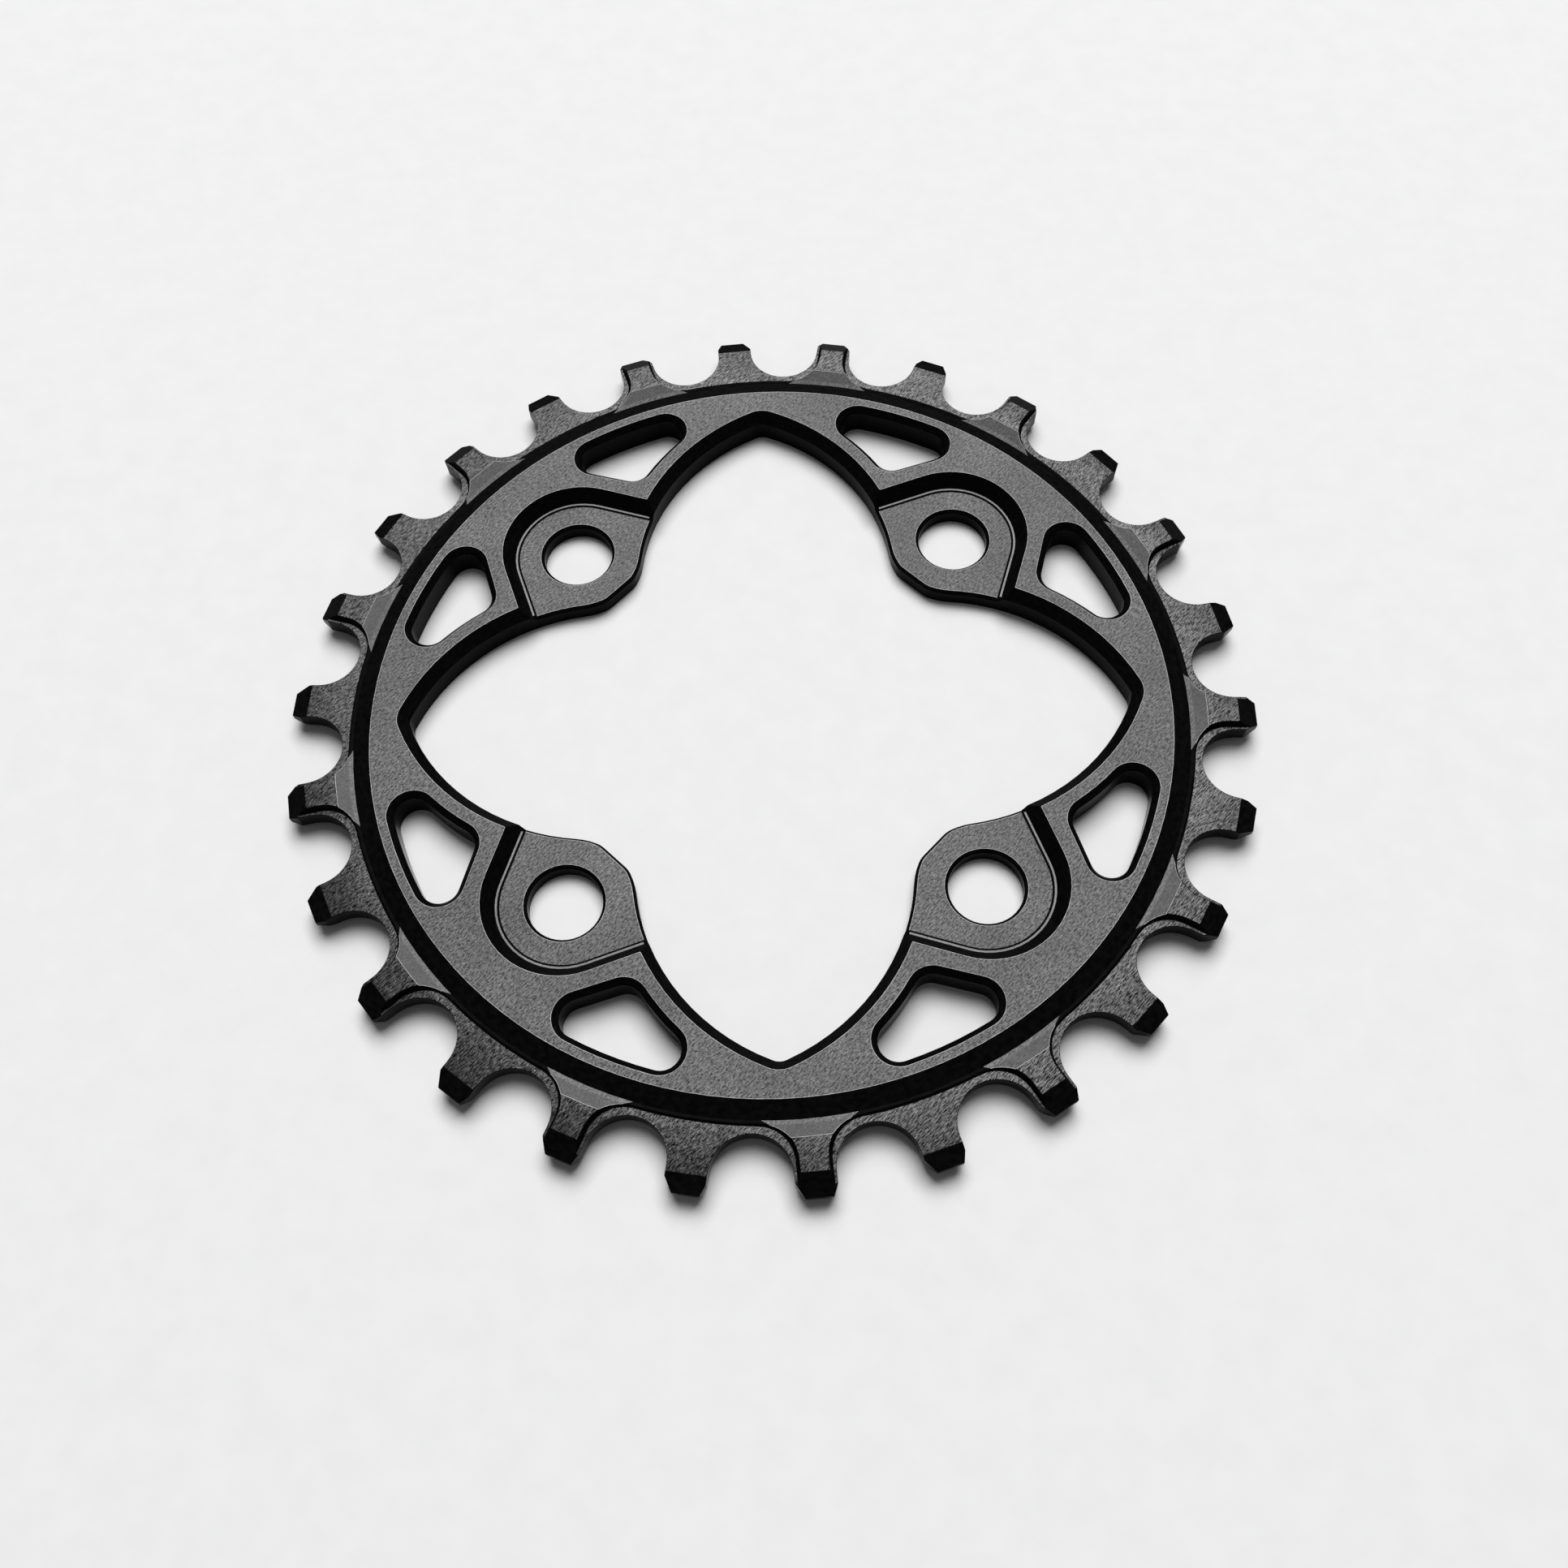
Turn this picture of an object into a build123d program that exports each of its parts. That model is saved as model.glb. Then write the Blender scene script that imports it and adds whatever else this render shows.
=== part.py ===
"""Narrow-wide bicycle chainring, one machined plate lying flat on its back face.

Millimetres, +Z up, origin in the middle of the back face. The bolt tabs stand at
45 degrees to X and Y, with their sunken pads up. Angles are in degrees.
"""

import os
from math import atan, cos, degrees, hypot, radians, sin, sqrt

from build123d import *

os.makedirs("parts", exist_ok=True)

# chain and bolt standards
tooth_pairs = 13
pitch = 12.7
bolts = 4
bolt_circle = 64.0
bolt_hole = 8.2

# levels, the drops measured down from the web's face
thickness = 3.75
wide_drop = 0.12
narrow_drop = 0.85
narrow_thick = 2.0
tip_land = 0.75

# tooth outline: round roller seats, straight flanks, and a bevel on each side of the tip
first_narrow = -45.0
seat_r = 4.26
tip_rise = 2.07
lead_long = 1.45
lead_wide = 0.87
trail_long = 1.1
trail_wide = 0.47
wide_point = 2.25
narrow_point = 1.85

# sunken floor round each narrow tooth, which leaves a block on each wide tooth
block_half = 1.42
floor_margin = 1.12
floor_corner = 4.22
floor_draft = 16.7

# groove between the web and the teeth
rim_margin = 3.25
groove_width = 1.97
groove_depth = 0.7
facet_width = 1.9

# opening with one petal between each two tabs
petal_r = 23.7
petal_margin = 4.0
petal_bevel = 1.18
cusp_r = 1.8
tab_r = 7.71
tab_flat_half = 2.09
tab_round = 3.0
tab_bevel = 0.33

# recess that an arm of the crank seats in, with a ledge round its pad
recess_r = 8.91
recess_in = 0.15
recess_flare = 26.5
recess_run = 1.31
recess_depth = 1.62
ledge = 0.27
pad_step = 0.1
pad_run = 0.2
hole_bevel = 0.36

# lightening slots beside each tab, and the ribs left round them
slot_bevel = 0.67
slot_corner = 2.8
rim_rib = 1.02
petal_rib = 1.4
recess_rib = 1.73
slot_flare = 28.6
corner_share = 0.2

# how far a cut runs past the faces that it opens
clear = 1.0

# circles and levels that follow from the sizes above
teeth = 2 * tooth_pairs
step = 360 / teeth
pitch_r = pitch / (2 * sin(radians(step / 2)))
root_r = pitch_r - seat_r
tip_r = pitch_r + tip_rise
web_r = root_r - rim_margin
groove_r = web_r + groove_width
bolt_r = bolt_circle / 2
block_top = thickness - wide_drop
narrow_top = thickness - narrow_drop
narrow_back = narrow_top - narrow_thick
tooth_mid = (narrow_top + narrow_back) / 2
tip_top = tooth_mid + tip_land / 2
tip_back = tooth_mid - tip_land / 2
ledge_top = thickness - recess_depth

# where things stand round the ring
narrow_at = [first_narrow + 2 * step * i for i in range(tooth_pairs)]
wide_at = [at + step for at in narrow_at]
petal_step = 360 / bolts
petals_at = [petal_step * i for i in range(bolts)]
tabs_at = [at + petal_step / 2 for at in petals_at]


def turn(point, angle):
    """Point turned about the middle of the ring."""
    c, s = cos(radians(angle)), sin(radians(angle))
    return (c * point[0] - s * point[1], s * point[0] + c * point[1])


def flip(point):
    """Point on the other side of the local X axis."""
    return (point[0], -point[1])


def toward(start, goal, reach):
    """Point on the way from start to goal, reach away from start."""
    run = hypot(goal[0] - start[0], goal[1] - start[1])
    return tuple(s + (g - s) * reach / run for s, g in zip(start, goal))


def meet(one, one_r, two, two_r, side):
    """Where two circles cross, to the left (1) or right (-1) of the way from one to two."""
    dx, dy = two[0] - one[0], two[1] - one[1]
    gap = hypot(dx, dy)
    along = (gap**2 + one_r**2 - two_r**2) / (2 * gap)
    off = side * sqrt(one_r**2 - along**2)
    return (
        one[0] + (along * dx - off * dy) / gap,
        one[1] + (along * dy + off * dx) / gap,
    )


def strike(start, way, centre, radius):
    """Where the line from start along way leaves a circle."""
    dx, dy = centre[0] - start[0], centre[1] - start[1]
    along = dx * way[0] + dy * way[1]
    miss = dx * way[1] - dy * way[0]
    run = along + sqrt(radius**2 - miss**2)
    return (start[0] + run * way[0], start[1] + run * way[1])


def bow(centre, start, end):
    """Draw the short arc about a centre from start to end."""
    middle = ((start[0] + end[0]) / 2, (start[1] + end[1]) / 2)
    radius = hypot(start[0] - centre[0], start[1] - centre[1])
    ThreePointArc(start, toward(centre, middle, radius), end)


def tooth_plane(angle):
    """Plane through the middle of a tooth, with X outwards and Y up."""
    c, s = cos(radians(angle)), sin(radians(angle))
    return Plane(origin=(0, 0, 0), x_dir=(c, s, 0), z_dir=(s, -c, 0))


# one tooth in its own frame, X outwards, and the roller seat on its left
half_step = radians(step / 2)
seat = (pitch_r * cos(half_step), pitch_r * sin(half_step))
seat_low = (root_r * cos(half_step), root_r * sin(half_step))
tooth_half = seat[1] - seat_r
flank = (seat[0], tooth_half)
tooth_corners = (
    flip(flank),
    (tip_r - lead_long, -tooth_half),
    (tip_r, lead_wide - tooth_half),
    (tip_r, tooth_half - trail_wide),
    (tip_r - trail_long, tooth_half),
    flank,
)

# edge of a sunken floor, in the frame of the wide tooth that it runs up to
floor_r = root_r - floor_margin
corner_y = block_half + floor_corner
corner_x = sqrt((floor_r + floor_corner) ** 2 - corner_y**2)
floor_bend = (corner_x, corner_y)
floor_in = toward((0, 0), floor_bend, floor_r)
floor_turn = (corner_x, block_half)
floor_out = ((tip_r + clear) / cos(radians(step)), block_half)
back_corner = (sqrt(floor_r**2 - block_half**2), block_half)

# edge of the opening, in the frame of one petal, with a bolt tab on each side
bolt_at = turn((bolt_r, 0), petal_step / 2)
cusp = (web_r - petal_margin, 0)
petal_bend = meet(cusp, petal_r, bolt_at, petal_r + tab_r, 1)
tab_join = toward(bolt_at, petal_bend, tab_r)
tab_end = bolt_r - sqrt(tab_r**2 - tab_flat_half**2)
tab_corner = turn((tab_end, -tab_flat_half), petal_step / 2)

# recess, in the frame of one tab
recess_at = (bolt_r - recess_in, 0)
recess_end = tab_end - recess_run - clear
flare = (sin(radians(recess_flare)), cos(radians(recess_flare)))

# slot beside a tab, in the tab's frame; its walls stand one bevel inside its edges
slot_out = web_r - rim_rib - slot_bevel
slot_bend = turn(flip(petal_bend), petal_step / 2)
slot_low = petal_r + petal_bevel + petal_rib + slot_bevel
slot_side = recess_r + recess_rib + slot_bevel
slot_lean = (sin(radians(slot_flare)), cos(radians(slot_flare)))
side_out = (slot_lean[1], -slot_lean[0])
side_mid = (recess_at[0] + slot_side * slot_lean[0], slot_side * slot_lean[1])
side_top = strike(side_mid, side_out, (0, 0), slot_out)
side_foot = strike(side_mid, side_out, slot_bend, slot_low)
side_long = hypot(side_top[0] - side_foot[0], side_top[1] - side_foot[1])

# its corners are round, and leave some of its short side straight
slot_r = min(slot_corner - slot_bevel, corner_share * side_long)
corner_mid = (side_mid[0] + slot_r * slot_lean[0], side_mid[1] + slot_r * slot_lean[1])
corner_near = strike(corner_mid, side_out, (0, 0), slot_out - slot_r)
corner_low = strike(corner_mid, side_out, slot_bend, slot_low + slot_r)
corner_far = meet((0, 0), slot_out - slot_r, slot_bend, slot_low + slot_r, -1)


def tooth_line(at):
    """Edge of one tooth and of the roller seat up to the next one."""
    Polyline(*[turn(corner, at) for corner in tooth_corners])
    ThreePointArc(turn(flank, at), turn(seat_low, at), turn(flip(flank), at + step))


def point_line(length, face, tip):
    """Wedge that slopes a tooth's face to its tip, in the tooth's plane."""
    over = clear if face > tip else -clear
    slope = (tip - face) / length
    Polyline(
        (tip_r - length, face),
        (tip_r + clear, tip + slope * clear),
        (tip_r + clear, face + over),
        (tip_r - length, face + over),
        close=True,
    )


def floor_line(at):
    """Edge of the sunken floor round the narrow tooth at this angle."""
    low, high = at - step, at + step
    Line(turn(floor_out, low), turn(flip(floor_out), high))
    Line(turn(flip(floor_out), high), turn(flip(floor_turn), high))
    bow(turn(flip(floor_bend), high), turn(flip(floor_turn), high), turn(flip(floor_in), high))
    bow((0, 0), turn(flip(floor_in), high), turn(floor_in, low))
    bow(turn(floor_bend, low), turn(floor_in, low), turn(floor_turn, low))
    Line(turn(floor_turn, low), turn(floor_out, low))


def back_line(at):
    """Edge of the sunken floor behind the same narrow tooth, with plain corners."""
    low, high = at - step, at + step
    Line(turn(floor_out, low), turn(flip(floor_out), high))
    Line(turn(flip(floor_out), high), turn(flip(back_corner), high))
    bow((0, 0), turn(flip(back_corner), high), turn(back_corner, low))
    Line(turn(back_corner, low), turn(floor_out, low))


def petal_line(at):
    """Edge of the opening from the flat end of one tab to the flat end of the next."""
    bow(turn(flip(bolt_at), at), turn(flip(tab_corner), at), turn(flip(tab_join), at))
    bow(turn(flip(petal_bend), at), turn(flip(tab_join), at), turn(cusp, at))
    bow(turn(petal_bend, at), turn(cusp, at), turn(tab_join, at))
    bow(turn(bolt_at, at), turn(tab_join, at), turn(tab_corner, at))
    Line(turn(tab_corner, at), turn(flip(tab_corner), at + petal_step))


def recess_line(inset, at):
    """Edge of one tab's recess, moved in by inset: round outwards, flared inwards."""
    radius = recess_r - inset
    side = (recess_at[0] + radius * flare[0], radius * flare[1])
    end = (recess_end, side[1] + (side[0] - recess_end) * flare[0] / flare[1])
    ThreePointArc(turn(flip(side), at), turn((recess_at[0] + radius, 0), at), turn(side, at))
    Polyline(turn(side, at), turn(end, at), turn(flip(end), at), turn(flip(side), at))


def slot_line(at, side):
    """Edge of the slot beside the tab at this angle, on its left (1) or right (-1)."""
    near_side = (corner_near[0] - slot_r * slot_lean[0], corner_near[1] - slot_r * slot_lean[1])
    near_out = toward((0, 0), corner_near, slot_out)
    far_out = toward((0, 0), corner_far, slot_out)
    far_low = toward(slot_bend, corner_far, slot_low)
    low_low = toward(slot_bend, corner_low, slot_low)
    low_side = (corner_low[0] - slot_r * slot_lean[0], corner_low[1] - slot_r * slot_lean[1])
    bows = (
        (corner_near, near_side, near_out),
        ((0, 0), near_out, far_out),
        (corner_far, far_out, far_low),
        (slot_bend, far_low, low_low),
        (corner_low, low_low, low_side),
    )
    for points in bows:
        bow(*[turn((x, side * y), at) for x, y in points])
    Line(*[turn((x, side * y), at) for x, y in (low_side, near_side)])


# recesses with sloped walls, drawn open side down
with BuildPart() as recesses:
    with BuildSketch():
        for at in tabs_at:
            with BuildLine():
                recess_line(0, at)
            make_face()
    extrude(amount=recess_depth, taper=degrees(atan(recess_run / recess_depth)))

# pads, a sloped step below the ledges, drawn open side down
with BuildPart() as pads:
    with BuildSketch(Plane.XY.offset(recess_depth)):
        for at in tabs_at:
            with BuildLine():
                recess_line(recess_run + ledge, at)
            make_face()
    extrude(amount=pad_step, taper=degrees(atan(pad_run / pad_step)))

# sunken floors in front of the narrow teeth, drawn open side down
with BuildPart() as floors:
    with BuildSketch():
        for at in narrow_at:
            with BuildLine():
                floor_line(at)
            make_face()
    extrude(amount=narrow_back, taper=floor_draft)

with BuildPart() as chainring:
    # toothed plate
    with BuildSketch():
        with BuildLine():
            for i in range(teeth):
                tooth_line(first_narrow + step * i)
        make_face()
    extrude(amount=thickness)

    # opening, with a deep bevel in front
    with BuildSketch():
        with BuildLine():
            for at in petals_at:
                petal_line(at)
        make_face()
        fillet(vertices().group_by(SortBy.DISTANCE)[-1], radius=cusp_r)
        fillet(vertices().group_by(SortBy.DISTANCE)[0], radius=tab_round)
    extrude(amount=thickness, mode=Mode.SUBTRACT)
    chamfer(edges(Select.LAST).filter_by_position(Axis.Z, thickness, thickness), petal_bevel)

    # lightening slots
    with BuildSketch():
        for at in tabs_at:
            for side in (1, -1):
                with BuildLine():
                    slot_line(at, side)
                make_face()
    extrude(amount=thickness, mode=Mode.SUBTRACT)
    chamfer(edges(Select.LAST).filter_by_position(Axis.Z, thickness, thickness), slot_bevel)

    # recesses in front, with a small bevel along the edge of each tab, then the pads
    mirror(recesses.part, about=Plane.XY.offset(thickness / 2), mode=Mode.SUBTRACT)
    foot_edges = edges().filter_by_position(Axis.Z, ledge_top, ledge_top)
    tab_edges = foot_edges.filter_by(lambda edge: hypot(edge.center().X, edge.center().Y) < bolt_r)
    chamfer(tab_edges, tab_bevel + pad_step)
    mirror(pads.part, about=Plane.XY.offset(thickness / 2), mode=Mode.SUBTRACT)

    # bolt holes
    with PolarLocations(bolt_r, bolts, start_angle=tabs_at[0]):
        Hole(radius=bolt_hole / 2)
    chamfer(edges(Select.LAST).filter_by(GeomType.CIRCLE).group_by(Axis.Z)[-1], hole_bevel)

    # groove round the web, with the facet that rises from it to the wide teeth
    with BuildSketch(Plane.XZ):
        with BuildLine():
            Polyline(
                (web_r, thickness),
                (groove_r, thickness - groove_depth),
                (groove_r + facet_width, block_top),
                (tip_r + clear, block_top),
                (tip_r + clear, thickness + clear),
                (web_r, thickness + clear),
                close=True,
            )
        make_face()
    revolve(axis=Axis.Z, mode=Mode.SUBTRACT)

    # sunken floors that make every second tooth narrow, back and front
    with BuildSketch():
        for at in narrow_at:
            with BuildLine():
                back_line(at)
            make_face()
    extrude(amount=narrow_back, taper=floor_draft, mode=Mode.SUBTRACT)
    mirror(floors.part, about=Plane.XY.offset(tooth_mid), mode=Mode.SUBTRACT)

    # sloped points of the wide teeth, then of the narrow teeth
    with BuildSketch(*[tooth_plane(at) for at in wide_at]):
        with BuildLine():
            point_line(wide_point, block_top, tip_top)
        make_face()
        with BuildLine():
            point_line(wide_point, 0, tip_back)
        make_face()
    extrude(amount=tooth_half + clear, both=True, mode=Mode.SUBTRACT)
    with BuildSketch(*[tooth_plane(at) for at in narrow_at]):
        with BuildLine():
            point_line(narrow_point, narrow_top, tip_top)
        make_face()
        with BuildLine():
            point_line(narrow_point, narrow_back, tip_back)
        make_face()
    extrude(amount=tooth_half + clear, both=True, mode=Mode.SUBTRACT)

chainring.part.label = "chainring"
export_step(chainring.part, "parts/chainring.step")
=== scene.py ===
"""Black anodised chainring on a pale studio floor. Metres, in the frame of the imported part."""

from math import atan2, cos, hypot, pi, radians, sin

import bmesh
import bpy
from mathutils import Matrix, Quaternion, Vector


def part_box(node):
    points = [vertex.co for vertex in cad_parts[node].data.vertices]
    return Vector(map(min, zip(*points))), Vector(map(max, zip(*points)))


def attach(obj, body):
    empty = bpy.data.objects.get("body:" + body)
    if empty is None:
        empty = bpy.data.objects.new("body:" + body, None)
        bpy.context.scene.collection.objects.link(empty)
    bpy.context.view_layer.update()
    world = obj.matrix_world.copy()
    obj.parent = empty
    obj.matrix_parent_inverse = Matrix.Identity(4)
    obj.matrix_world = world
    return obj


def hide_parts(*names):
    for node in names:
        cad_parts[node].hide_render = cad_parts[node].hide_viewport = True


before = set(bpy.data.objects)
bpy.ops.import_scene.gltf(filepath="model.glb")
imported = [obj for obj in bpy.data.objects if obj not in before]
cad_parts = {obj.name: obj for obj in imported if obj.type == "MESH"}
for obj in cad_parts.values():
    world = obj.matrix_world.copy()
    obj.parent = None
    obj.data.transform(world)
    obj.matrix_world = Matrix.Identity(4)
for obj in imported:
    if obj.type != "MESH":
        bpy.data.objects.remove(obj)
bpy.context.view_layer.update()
ring_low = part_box("chainring")[0]

MM = 0.001

# camera, as the photograph was taken: turned from the Y axis, tipped down and rolled
CAMERA_AT = Vector((3.184, -82.852, 149.51)) * MM
CAMERA_TURN = radians(-1.44)
CAMERA_DOWN = radians(63.524)
CAMERA_ROLL = radians(-3.52)
CAMERA_LENS = 34.05
CAMERA_SENSOR = 36.0
CAMERA_NEAR = 10 * MM

# levels and the circle that tell one surface of the ring from another
LEVEL_SLACK = 0.02 * MM
LEDGE_LEVEL = 2.13 * MM
FLOOR_LEVELS = (0.9 * MM, 2.9 * MM)
TOOTH_LEVELS = (*FLOOR_LEVELS, 3.63 * MM)
GROOVE_R = 47.14 * MM

# height of a face's unit normal, from 0 on an upright wall to 1 on a level face
LEVEL_UP = 0.995
FACET_UP = 0.9
BEVEL_UP = 0.15

# wide teeth, half way between the narrow ones
WIDE_TEETH = 13
WIDE_PITCH = 2 * pi / WIDE_TEETH
FIRST_NARROW = radians(-45.0)
FIRST_WIDE = FIRST_NARROW + WIDE_PITCH / 2

# cut across each end of a wide tooth's facet, in the tooth's own axes: X out along it, Y aside
CUT_AT_GROOVE = Vector((46.89, 4.85, 0)) * MM
CUT_AT_WALL = Vector((47.56, 3.91, 0)) * MM

# how near the cut a face is for it to be cut, and how far out along the tooth the cut counts
CUT_REACH = 2.5 * MM
CUT_OUT = 48.0 * MM

# mesh: gaps to weld or drop, angles that count as flat and as sharp, and large faces' pull on shading
WELD = 0.002 * MM
HAIR = WELD / 10
FLAT_ANGLE = radians(0.6)
SHARP_ANGLE = radians(13.0)
FLAT_WEIGHT = 100

# rounds on the outer edges, and at the foot of the walls round the sunken floors
EDGE_BREAK = 0.05 * MM
CORNER_ROUND = 0.14 * MM
ROUND_STEPS = 2
ROUND_PROFILE = 0.5

# range that holds most of a noise's values
NOISE_RANGE = (0.3, 0.7)

# brushed faces: grain at an angle to the X axis, broad clouds and a few dark pits
GRAIN_ANGLE = radians(45.0)
GRAIN_RANGE = (0.38, 0.62)
CLOUD_SIZE = 7 * MM
CLOUD_TONES = (0.8, 1.2)
PIT_SIZE = 0.2 * MM
PIT_RANGE = (0.71, 0.75)
PIT_DARK = 0.8
PIT_ROUGH = 0.3
ROUGH_SPAN = 0.2
FINE_DEPTH = 0.004 * MM

# tooth faces fall away a little from the roots to the tips
FALL_RANGE = (48.0 * MM, 54.75 * MM)
FALL_POWER = 2.0

# painted highlight: facets are lighter beside the groove, where the fillet at its foot catches the light
GROOVE_HIGHLIGHT_RANGE = (47.6 * MM, 47.8 * MM)

# cut faces: faint cutter lines, level along the walls
LINE_STRETCH = (3, 3, 1)
LINE_SIZE = 0.25 * MM
LINE_TONES = (0.5, 1.5)
LINE_ROUGH = (0.12, 0.18)
LINE_STRENGTH = 0.3

# floor, backdrop and fill
FLOOR_HALF = 0.9
FLOOR_COLOUR = (0.86, 0.86, 0.865, 1)
FLOOR_GRAIN = 4 * MM
FLOOR_TONES = (0.985, 1.015)
FLOOR_ROUGH = 0.9
SKY_COLOUR = (0.86, 0.86, 0.865, 1)
FILL_COLOUR = (0.1, 0.1, 0.1, 1)

# key light: turned from the back, raised, and rolled about its own axis
KEY_TURN = radians(6.0)
KEY_UP = radians(58.0)
KEY_ROLL = radians(47.0)
KEY_FAR = 4.0
KEY_WIDE = 2.95
KEY_HIGH = 3.1
KEY_POWER = 200.0


class Nodes:
    """Node tree of one new material, with short ways to add what the materials share."""

    def __init__(self, name):
        self.material = bpy.data.materials.new(name)
        self.material.use_nodes = True
        self.tree = self.material.node_tree
        self.shader = self.tree.nodes["Principled BSDF"]

    def add(self, kind, **settings):
        node = self.tree.nodes.new(kind)
        for key, value in settings.items():
            setattr(node, key, value)
        return node

    def link(self, out_socket, in_socket):
        self.tree.links.new(out_socket, in_socket)

    def set(self, name, value):
        """Constant on one of the shader's own sockets."""
        self.shader.inputs[name].default_value = value

    def place(self, turn=0.0, stretch=(1, 1, 1)):
        """Object coordinates, turned about Z and stretched."""
        where = self.add("ShaderNodeTexCoord")
        mapping = self.add("ShaderNodeMapping", vector_type="TEXTURE")
        mapping.inputs["Rotation"].default_value = (0, 0, turn)
        mapping.inputs["Scale"].default_value = stretch
        self.link(where.outputs["Object"], mapping.inputs["Vector"])
        return mapping.outputs["Vector"]

    def noise(self, vector, size, detail=2.0, roughness=0.6):
        """Noise whose features are about size metres across."""
        noise = self.add("ShaderNodeTexNoise")
        noise.inputs["Scale"].default_value = 1 / size
        noise.inputs["Detail"].default_value = detail
        noise.inputs["Roughness"].default_value = roughness
        self.link(vector, noise.inputs["Vector"])
        return noise.outputs["Fac"]

    def radius(self):
        """Distance from the middle of the ring, near enough that from its axis."""
        length = self.add("ShaderNodeVectorMath", operation="LENGTH")
        self.link(self.place(), length.inputs[0])
        return length.outputs["Value"]

    def span(self, value, source, target):
        """Value carried from one range to another, held at its ends."""
        node = self.add("ShaderNodeMapRange")
        node.inputs["From Min"].default_value, node.inputs["From Max"].default_value = source
        node.inputs["To Min"].default_value, node.inputs["To Max"].default_value = target
        self.link(value, node.inputs["Value"])
        return node.outputs["Result"]

    def math(self, operation, one, two):
        """Two values put together, each a socket or a number."""
        node = self.add("ShaderNodeMath", operation=operation)
        for socket, value in zip(node.inputs, (one, two)):
            if isinstance(value, (int, float)):
                socket.default_value = value
            else:
                self.link(value, socket)
        return node.outputs["Value"]

    def grey(self, value):
        """Value as the base colour."""
        colour = self.add("ShaderNodeCombineColor")
        for channel in colour.inputs[:3]:
            self.link(value, channel)
        self.link(colour.outputs["Color"], self.shader.inputs["Base Color"])

    def rough(self, value):
        """Value as the roughness."""
        self.link(value, self.shader.inputs["Roughness"])

    def bump(self, height, depth, strength=1.0):
        """Height as the shader's normal."""
        node = self.add("ShaderNodeBump")
        node.inputs["Distance"].default_value = depth
        node.inputs["Strength"].default_value = strength
        self.link(height, node.inputs["Height"])
        self.link(node.outputs["Normal"], self.shader.inputs["Normal"])


def brushed(
    name,
    base,
    size,
    contrast,
    gloss,
    depth=FINE_DEPTH,
    stretch=3,
    speckled=0.4,
    polish=0.3,
    metal=0.0,
    fall=0.0,
    groove_highlight=0.0,
):
    """Flat anodised face: diagonal grain, fine speckle, broad clouds and a few dark pits.

    Size and stretch are the grain's, speckled is the share of speckle in it, and depth is its relief.
    Polish is the lowest roughness, fall the drop to the outer edge, and the last one a painted highlight,
    added tone beside the groove.
    """
    look = Nodes(name)
    look.set("Specular IOR Level", gloss)
    look.set("Metallic", metal)
    grain = look.noise(look.place(GRAIN_ANGLE, (stretch, 1, 1)), size)
    speckle = look.noise(look.place(), size)
    cloud = look.noise(look.place(), CLOUD_SIZE, detail=3.0)
    spots = look.noise(look.place(), PIT_SIZE, detail=1.0, roughness=0.4)
    pits = look.span(spots, PIT_RANGE, (0.0, PIT_DARK))
    texture = look.math(
        "ADD",
        look.math("MULTIPLY", grain, 1 - speckled),
        look.math("MULTIPLY", speckle, speckled),
    )

    tone = look.span(texture, GRAIN_RANGE, (base * (1 - contrast), base * (1 + contrast)))
    tone = look.math("MULTIPLY", tone, look.span(cloud, NOISE_RANGE, CLOUD_TONES))
    tone = look.math("MULTIPLY", tone, look.math("SUBTRACT", 1.0, pits))
    # painted highlight: lighter tone beside the groove
    if groove_highlight:
        tone = look.math("MULTIPLY", tone, look.span(look.radius(), GROOVE_HIGHLIGHT_RANGE, (1 + groove_highlight, 1.0)))
    look.grey(tone)

    roughness = look.span(texture, NOISE_RANGE, (polish, polish + ROUGH_SPAN))
    look.rough(look.math("ADD", roughness, look.math("MULTIPLY", pits, PIT_ROUGH)))

    height = texture
    if fall:
        down = look.math("POWER", look.span(look.radius(), FALL_RANGE, (0.0, 1.0)), FALL_POWER)
        height = look.math("SUBTRACT", texture, look.math("MULTIPLY", down, fall / depth))
    look.bump(height, depth)
    return look.material


def cut_with_painted_shade(name, base, gloss):
    """Cut bevel or wall: deep black, partly a darker cut finish and partly painted shade, with faint
    cutter lines.
    """
    look = Nodes(name)
    look.set("Specular IOR Level", gloss)
    lines = look.noise(look.place(stretch=LINE_STRETCH), LINE_SIZE, roughness=0.5)
    look.grey(look.span(lines, NOISE_RANGE, [base * tone for tone in LINE_TONES]))
    look.rough(look.span(lines, NOISE_RANGE, LINE_ROUGH))
    look.bump(lines, FINE_DEPTH, LINE_STRENGTH)
    return look.material


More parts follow.
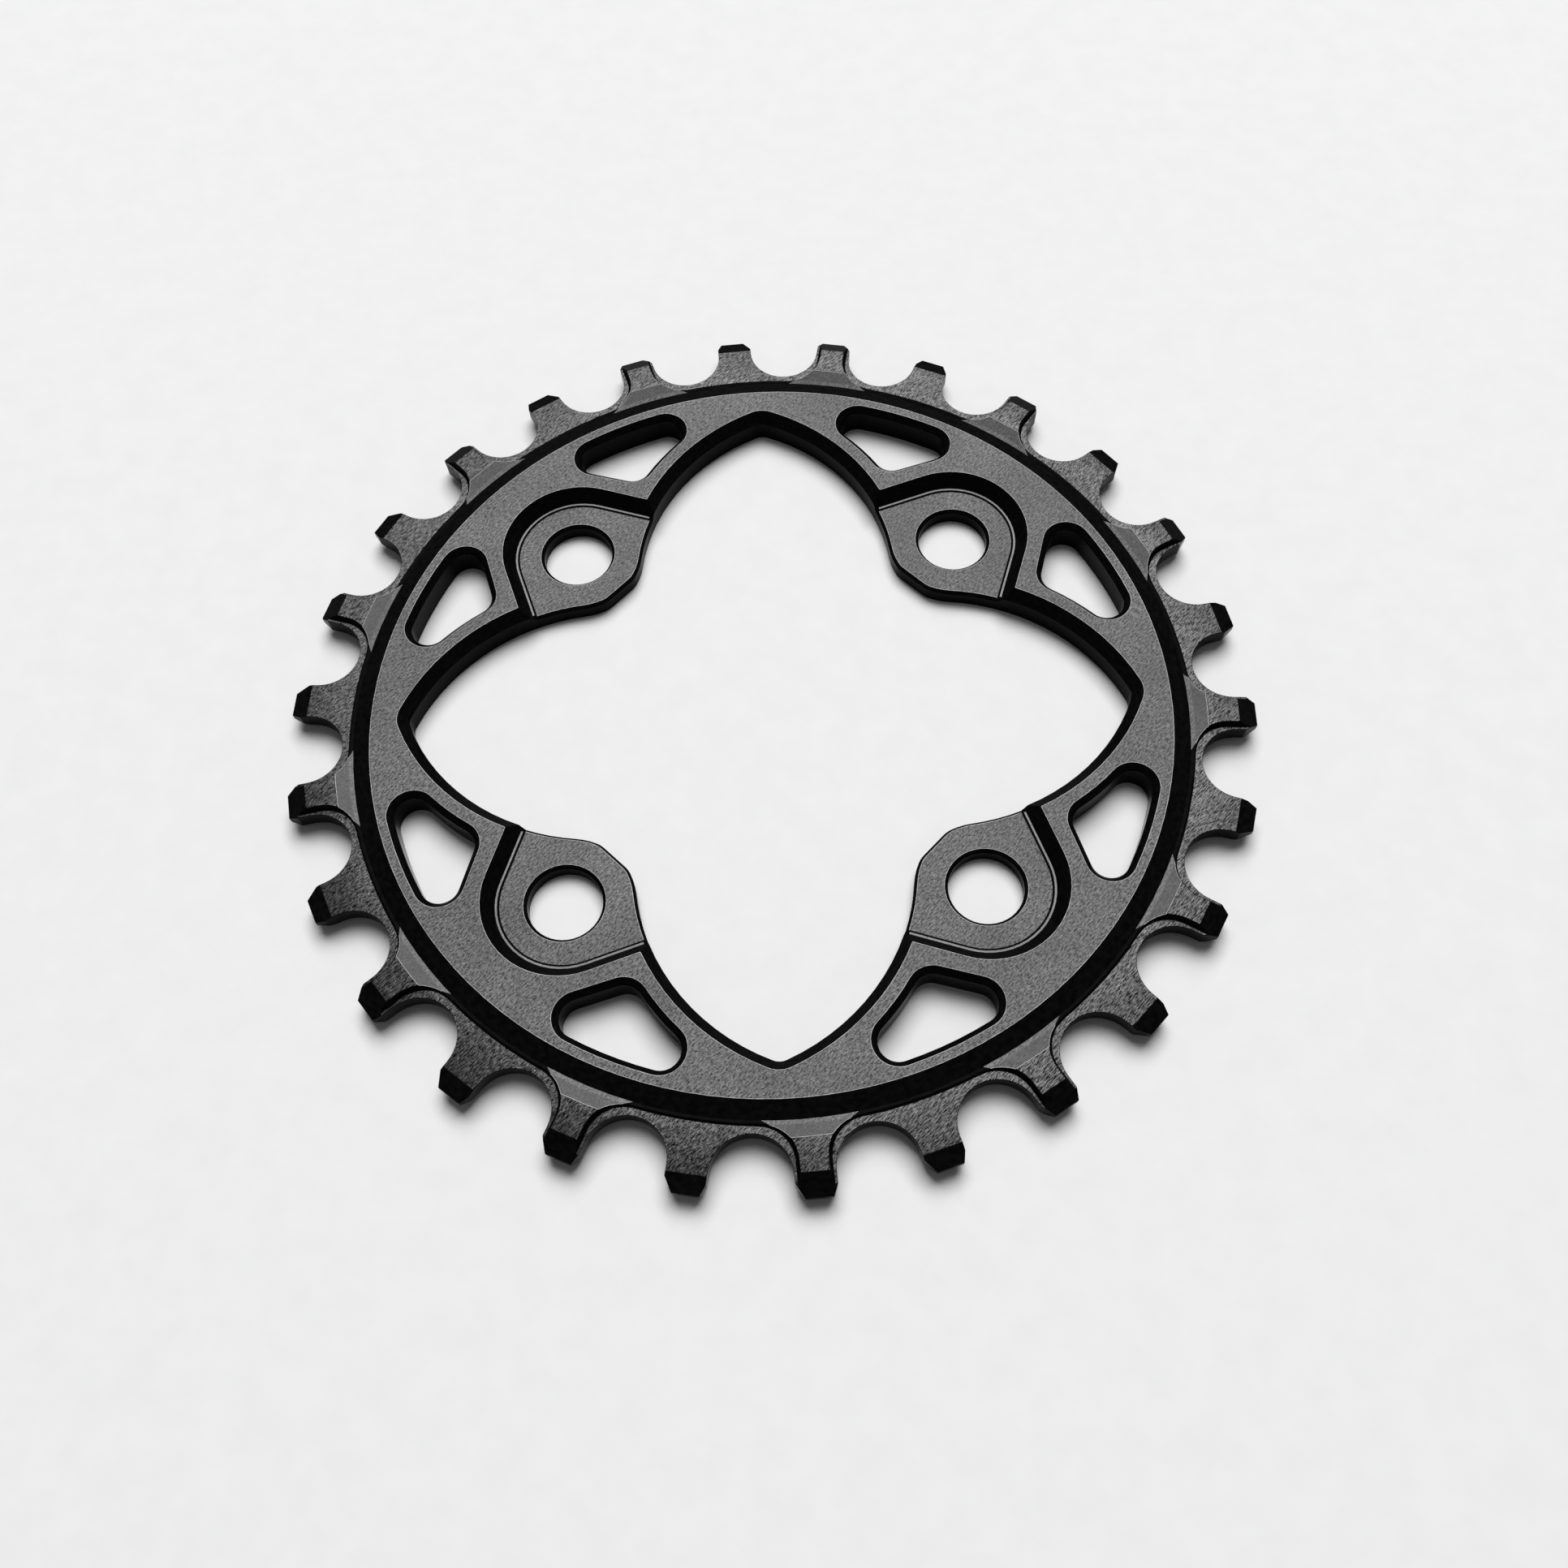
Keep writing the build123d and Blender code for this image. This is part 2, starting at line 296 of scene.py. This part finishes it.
MATERIALS = {
    "web": brushed("anodised_web", base=0.125, size=0.17 * MM, contrast=0.95, gloss=0.12, depth=0.03 * MM),
    "tooth": brushed(
        "anodised_tooth",
        base=0.033,
        size=0.12 * MM,
        contrast=0.9,
        gloss=0.5,
        depth=0.06 * MM,
        stretch=5,
        speckled=0.15,
        polish=0.12,
        metal=1.0,
        fall=0.35 * MM,
    ),
    # facet: with a painted highlight beside the groove
    "facet": brushed("anodised_facet", base=0.058, size=0.16 * MM, contrast=0.75, gloss=0.2, groove_highlight=0.85),
    # bevel and wall: near-black, darker than the level faces of the same anodising; much of the difference
    # is painted shade
    "bevel": cut_with_painted_shade("anodised_bevel_and_painted_shade", base=0.003, gloss=0.005),
    "wall": cut_with_painted_shade("anodised_wall_and_painted_shade", base=0.003, gloss=0.03),
    # ledge: a little lighter than the web, a painted highlight for the light its edge catches
    "ledge": brushed("anodised_ledge_painted_highlight", base=0.15, size=0.2 * MM, contrast=0.5, gloss=0.4),
    # edge: lighter tone on the rounds beside the web and the facets, a painted highlight along those edges
    "edge": brushed("anodised_edge_painted_highlight", base=0.4, size=0.2 * MM, contrast=0.5, gloss=0.5),
}
SLOTS = {name: slot for slot, name in enumerate(MATERIALS)}


def is_at(vertex, levels):
    return any(abs(vertex.co.z - level) < LEVEL_SLACK for level in levels)


def is_sharp(edge):
    return edge.is_manifold and edge.calc_face_angle() > SHARP_ANGLE


def is_level(face):
    return abs(face.normal.z) > LEVEL_UP


def is_facet(face):
    """Whether a face rises outward from the groove."""
    centre, normal = face.calc_center_median(), face.normal
    rises = FACET_UP < normal.z < LEVEL_UP and centre.x * normal.x + centre.y * normal.y < 0
    return rises and hypot(centre.x, centre.y) > GROOVE_R - LEVEL_SLACK


def is_past_cut(point):
    """Whether a point of a facet lies past the cut across the facet's end."""
    off = (atan2(point.y, point.x) - FIRST_WIDE + WIDE_PITCH / 2) % WIDE_PITCH - WIDE_PITCH / 2
    radius = hypot(point.x, point.y)
    out, aside = radius * cos(off), radius * abs(sin(off))
    along = CUT_AT_WALL - CUT_AT_GROOVE
    past = along.x * (aside - CUT_AT_GROOVE.y) - along.y * (out - CUT_AT_GROOVE.x)
    return past > 0 and out < CUT_OUT


def steep_surface(face):
    """Bevel or wall, by how far a face that isn't level leans."""
    return "bevel" if abs(face.normal.z) > BEVEL_UP else "wall"


def surface_of(face):
    """Which surface of the ring a face of its mesh belongs to."""
    if is_level(face):
        if all(is_at(v, [LEDGE_LEVEL]) for v in face.verts):
            return "ledge"
        return "tooth" if all(is_at(v, TOOTH_LEVELS) for v in face.verts) else "web"
    # facet faces past the cut take the bevel's black, painted shade for the dark line there
    if is_facet(face) and not is_past_cut(face.calc_center_median()):
        return "facet"
    return steep_surface(face)


def cut_facet_ends(shape):
    """Cut across each facet's ends, so that past the cut, where the dark line of the wall runs into the
    groove, it takes the bevel's black as painted shade.
    """
    ends = (CUT_AT_GROOVE, CUT_AT_WALL)
    for tooth in range(WIDE_TEETH):
        turn = Matrix.Rotation(FIRST_WIDE + tooth * WIDE_PITCH, 3, "Z")
        for side in (-1, 1):
            start, stop = (turn @ Vector((end.x, side * end.y, 0)) for end in ends)
            near = [
                face
                for face in shape.faces
                if is_facet(face) and (face.calc_center_median().xy - start.xy).length < CUT_REACH
            ]
            parts = dict.fromkeys(part for face in near for part in (*face.verts, *face.edges, face))
            bmesh.ops.bisect_plane(
                shape,
                geom=list(parts),
                dist=HAIR,
                plane_co=start,
                plane_no=(stop - start).cross(Vector((0, 0, 1))),
            )


def round_off(shape, edges, width):
    """Narrow round along some edges, and its faces."""
    return bmesh.ops.bevel(
        shape,
        geom=edges,
        offset=width,
        offset_type="OFFSET",
        segments=ROUND_STEPS,
        profile=ROUND_PROFILE,
        affect="EDGES",
        clamp_overlap=False,
        material=-1,
    )["faces"]


def round_corners(shape):
    """Round at the foot of the wall round each sunken floor, black with the bevel's painted shade in the
    crease.
    """
    feet = [
        edge
        for edge in shape.edges
        if is_sharp(edge) and not edge.is_convex and all(is_at(v, FLOOR_LEVELS) for v in edge.verts)
    ]
    # the bevel's black here is painted shade in the crease
    for face in round_off(shape, feet, CORNER_ROUND):
        face.material_index = SLOTS["bevel"]


def break_edges(shape):
    """Narrow round on every outer edge; beside the web and the facets it takes a lighter tone, a painted
    highlight.
    """
    outer = [edge for edge in shape.edges if is_sharp(edge) and edge.is_convex]
    strips = round_off(shape, outer, EDGE_BREAK)
    inside = set(strips)
    # rounds beside these surfaces get the painted highlight, the rest stay dark
    highlight_beside = {SLOTS[name] for name in ("web", "facet")}
    for face in strips:
        beside = [other for edge in face.edges for other in edge.link_faces if other not in inside]
        is_highlighted = any(other.material_index in highlight_beside for other in beside)
        face.material_index = SLOTS["edge" if is_highlighted else steep_surface(face)]


def ring_piece():
    """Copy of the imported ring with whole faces, broken edges and a material on each surface."""
    shape = bmesh.new()
    shape.from_mesh(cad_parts["chainring"].data)
    bmesh.ops.remove_doubles(shape, verts=shape.verts, dist=WELD)
    bmesh.ops.dissolve_limit(shape, angle_limit=FLAT_ANGLE, verts=shape.verts, edges=shape.edges)
    cut_facet_ends(shape)
    for face in shape.faces:
        face.material_index = SLOTS[surface_of(face)]
    round_corners(shape)
    break_edges(shape)
    bmesh.ops.dissolve_degenerate(shape, dist=HAIR, edges=shape.edges)
    for face in shape.faces:
        face.smooth = True
    for edge in shape.edges:
        edge.smooth = edge.is_convex or not is_sharp(edge)

    mesh = bpy.data.meshes.new("ring")
    shape.to_mesh(mesh)
    shape.free()
    for material in MATERIALS.values():
        mesh.materials.append(material)
    ring = bpy.data.objects.new("ring", mesh)
    bpy.context.scene.collection.objects.link(ring)
    flat = ring.modifiers.new("flat_faces", "WEIGHTED_NORMAL")
    flat.weight = FLAT_WEIGHT
    flat.keep_sharp = True
    return ring


def studio_floor():
    """Pale floor under the ring."""
    look = Nodes("floor")
    shade = look.add("ShaderNodeMix", data_type="RGBA", blend_type="MULTIPLY")
    shade.inputs["Factor"].default_value = 1.0
    shade.inputs["A"].default_value = FLOOR_COLOUR
    tone = look.span(look.noise(look.place(), FLOOR_GRAIN), NOISE_RANGE, FLOOR_TONES)
    look.link(tone, shade.inputs["B"])
    look.link(shade.outputs["Result"], look.shader.inputs["Base Color"])
    look.set("Roughness", FLOOR_ROUGH)
    look.set("Specular IOR Level", 0.0)

    mesh = bpy.data.meshes.new("floor")
    corners = [(x * FLOOR_HALF, y * FLOOR_HALF, 0) for x, y in ((-1, -1), (1, -1), (1, 1), (-1, 1))]
    mesh.from_pydata(corners, [], [(0, 1, 2, 3)])
    mesh.materials.append(look.material)
    floor = bpy.data.objects.new("floor", mesh)
    floor.location.z = ring_low[2]
    bpy.context.scene.collection.objects.link(floor)


def surroundings():
    """Pale backdrop for the camera and for reflections, dim fill for the rest."""
    world = bpy.data.worlds.new("studio")
    bpy.context.scene.world = world
    world.use_nodes = True
    tree = world.node_tree
    tree.nodes.clear()
    path = tree.nodes.new("ShaderNodeLightPath")
    mix = tree.nodes.new("ShaderNodeMixShader")
    fill = tree.nodes.new("ShaderNodeBackground")
    sky = tree.nodes.new("ShaderNodeBackground")
    out = tree.nodes.new("ShaderNodeOutputWorld")
    fill.inputs["Color"].default_value = FILL_COLOUR
    sky.inputs["Color"].default_value = SKY_COLOUR
    seen = path.outputs["Is Camera Ray"]
    for kind in ("Is Glossy Ray", "Is Transmission Ray"):
        either = tree.nodes.new("ShaderNodeMath")
        either.operation = "MAXIMUM"
        tree.links.new(seen, either.inputs[0])
        tree.links.new(path.outputs[kind], either.inputs[1])
        seen = either.outputs["Value"]
    tree.links.new(seen, mix.inputs["Fac"])
    tree.links.new(fill.outputs["Background"], mix.inputs[1])
    tree.links.new(sky.outputs["Background"], mix.inputs[2])
    tree.links.new(mix.outputs["Shader"], out.inputs["Surface"])


def key_light():
    """Rectangular lamp that faces the middle of the ring."""
    lamp = bpy.data.lights.new("key", "AREA")
    lamp.shape = "RECTANGLE"
    lamp.size = KEY_WIDE
    lamp.size_y = KEY_HIGH
    lamp.energy = KEY_POWER
    way = Vector((sin(KEY_TURN) * cos(KEY_UP), cos(KEY_TURN) * cos(KEY_UP), sin(KEY_UP)))
    aim = way.to_track_quat("Z", "Y") @ Quaternion((0, 0, 1), KEY_ROLL)
    light = bpy.data.objects.new("key", lamp)
    light.location = way * KEY_FAR
    light.rotation_euler = aim.to_euler()
    bpy.context.scene.collection.objects.link(light)


def camera():
    """Camera at the photograph's place, turned and rolled as it was."""
    turn, down, roll = CAMERA_TURN, CAMERA_DOWN, CAMERA_ROLL
    ahead = Vector((cos(down) * sin(turn), cos(down) * cos(turn), -sin(down)))
    level = Vector((cos(turn), -sin(turn), 0))
    right = cos(roll) * level + sin(roll) * level.cross(ahead)
    up = right.cross(ahead)
    lens = bpy.data.cameras.new("camera")
    lens.lens = CAMERA_LENS
    lens.sensor_width = CAMERA_SENSOR
    lens.clip_start = CAMERA_NEAR
    view = bpy.data.objects.new("camera", lens)
    view.matrix_world = Matrix.Translation(CAMERA_AT) @ Matrix((right, up, -ahead)).transposed().to_4x4()
    bpy.context.scene.collection.objects.link(view)
    bpy.context.scene.camera = view


ring = ring_piece()
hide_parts("chainring")
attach(ring, "root")
studio_floor()
surroundings()
key_light()
camera()
bpy.context.scene.view_settings.view_transform = "Standard"
